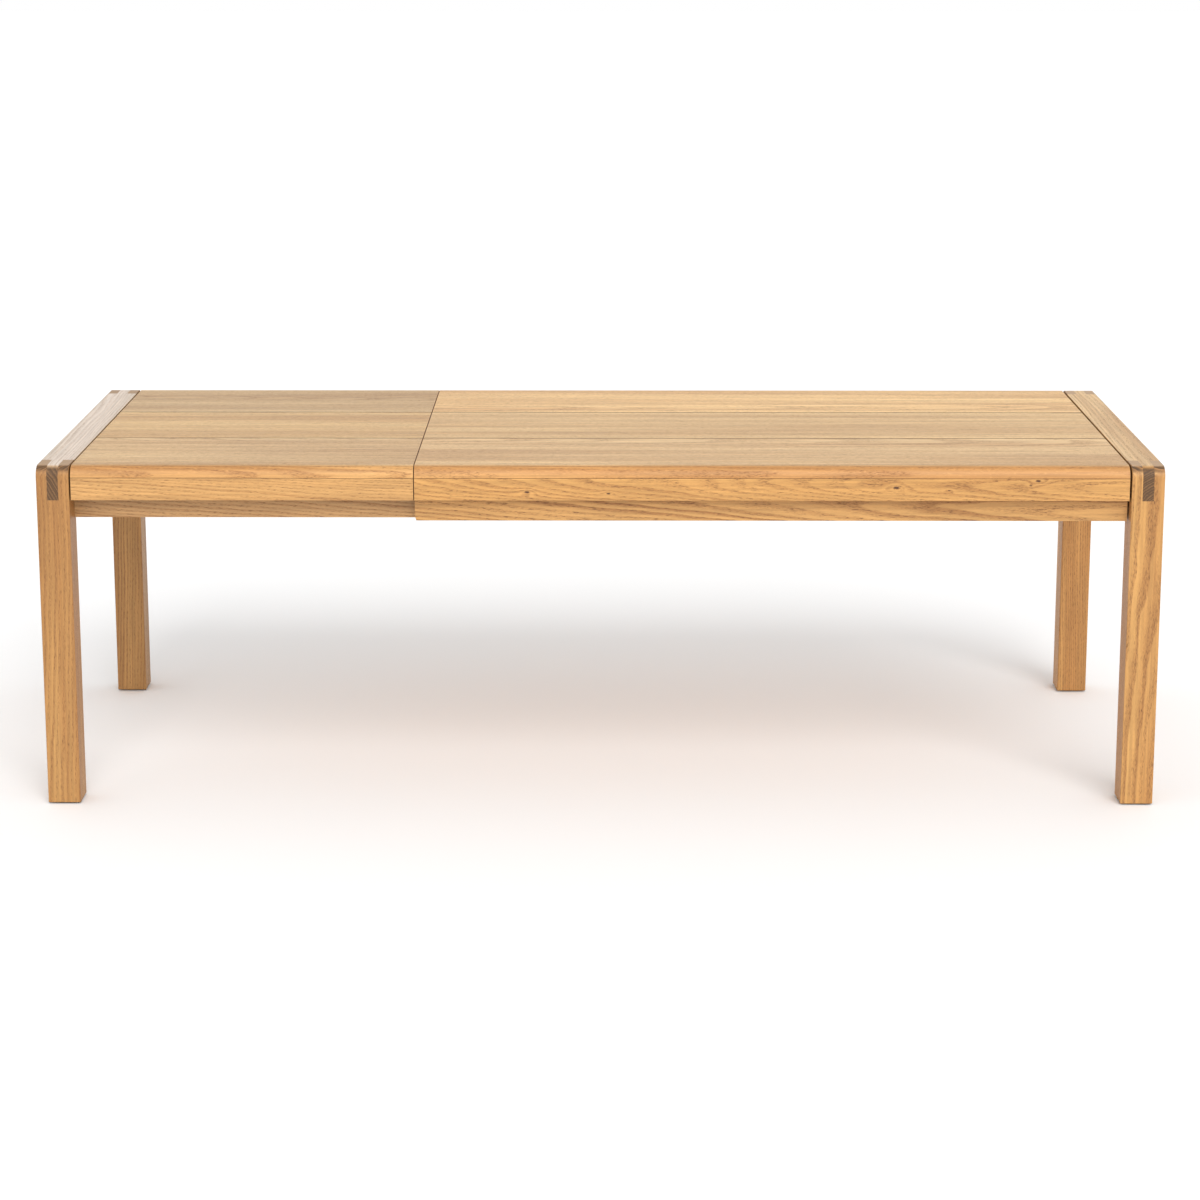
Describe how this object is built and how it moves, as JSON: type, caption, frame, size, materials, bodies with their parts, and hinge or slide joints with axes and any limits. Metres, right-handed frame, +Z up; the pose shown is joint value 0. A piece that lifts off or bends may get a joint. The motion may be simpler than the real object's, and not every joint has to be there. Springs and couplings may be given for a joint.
{
  "type": "extendable dining table",
  "caption": "Rectangular solid oak dining table with square legs in open-tenon end frames; one end frame slides on runners and a loose leaf drops in.",
  "frame": {"origin": "on the floor, under the middle of the table's outline, pulled out with the leaf in", "axes": "+X along the table's length towards the fixed end frame, -Y the front, +Z up"},
  "size_m": [2.4, 0.95, 0.75],
  "materials": {
    "oak_top": "oiled, fine lengthwise grain",
    "oak_fascia": "oiled, cathedral grain and small knots",
    "oak_frame": "oiled, straight grain with open end grain",
    "oak_apron": "oiled, bold grain",
    "oak_inner": "planed, oiled",
    "beech": "turned, plain",
    "zinc_steel": "zinc plated",
    "black_rubber": "matt",
    "felt": "pressed felt",
    "glide_plastic": "matt brown"
  },
  "bodies": {
    "fixed_section": {"back_guide_tongue": "oak_inner", "back_lock_keeper": "zinc_steel", "back_stop_block": "oak_inner", "closing_buffers": "black_rubber", "end_rail_dowels": "beech", "front_guide_tongue": "oak_inner", "front_lock_keeper": "zinc_steel", "front_stop_block": "oak_inner", "keeper_screws": "zinc_steel", "main_back_apron": "oak_apron", "main_back_board": "oak_top", "main_back_fascia": "oak_fascia", "main_batten_screws": "zinc_steel", "main_end_rail": "oak_inner", "main_front_apron": "oak_apron", "main_front_board": "oak_top", "main_front_fascia": "oak_fascia", "main_inner_left_batten": "oak_inner", "main_inner_right_batten": "oak_inner", "main_left_batten": "oak_inner", "main_middle_board": "oak_top", "main_right_batten": "oak_inner", "right_back_leg": "oak_frame", "right_frame_bolts": "zinc_steel", "right_frame_washers": "zinc_steel", "right_front_leg": "oak_frame", "right_leg_glides": "glide_plastic", "right_top_rail": "oak_frame", "shadow_gap_spacers": "zinc_steel", "stop_block_screws": "zinc_steel"},
    "sliding_frame": {"back_corner_bracket": "zinc_steel", "back_runner": "oak_apron", "bracket_screws": "zinc_steel", "front_corner_bracket": "zinc_steel", "front_runner": "oak_apron", "left_back_leg": "oak_frame", "left_frame_bolts": "zinc_steel", "left_frame_washers": "zinc_steel", "left_front_leg": "oak_frame", "left_leg_glides": "glide_plastic", "left_top_rail": "oak_frame", "runner_end_tie": "oak_inner", "runner_frame_tie": "oak_inner", "runner_tie_screws": "zinc_steel"},
    "leaf": {"leaf_back_board": "oak_top", "leaf_back_fascia": "oak_fascia", "leaf_batten_screws": "zinc_steel", "leaf_front_board": "oak_top", "leaf_front_fascia": "oak_fascia", "leaf_left_batten": "oak_inner", "leaf_middle_board": "oak_top", "leaf_pegs": "beech", "leaf_rest_pads": "felt", "leaf_right_batten": "oak_inner"},
    "front_bolt": {"front_lock_bolt": "zinc_steel"},
    "back_bolt": {"back_lock_bolt": "zinc_steel"}
  },
  "joints": [
    {"name": "end_frame_slide", "type": "slide", "parent": "fixed_section", "child": "sliding_frame", "axis": [1, 0, 0], "range_m": [0, 0.731]},
    {"name": "leaf_lift", "type": "slide", "parent": "fixed_section", "child": "leaf", "axis": [0, 0, 1], "range_m": [0, 0.914]},
    {"name": "front_lock", "type": "slide", "parent": "fixed_section", "child": "front_bolt", "axis": [0, -1, 0], "range_m": [0, 0.014]},
    {"name": "back_lock", "type": "slide", "parent": "fixed_section", "child": "back_bolt", "axis": [0, 1, 0], "range_m": [0, 0.014]}
  ],
  "couplings": [
    {"joint": "leaf_lift", "follows": "end_frame_slide", "ratio": 1.25}
  ]
}
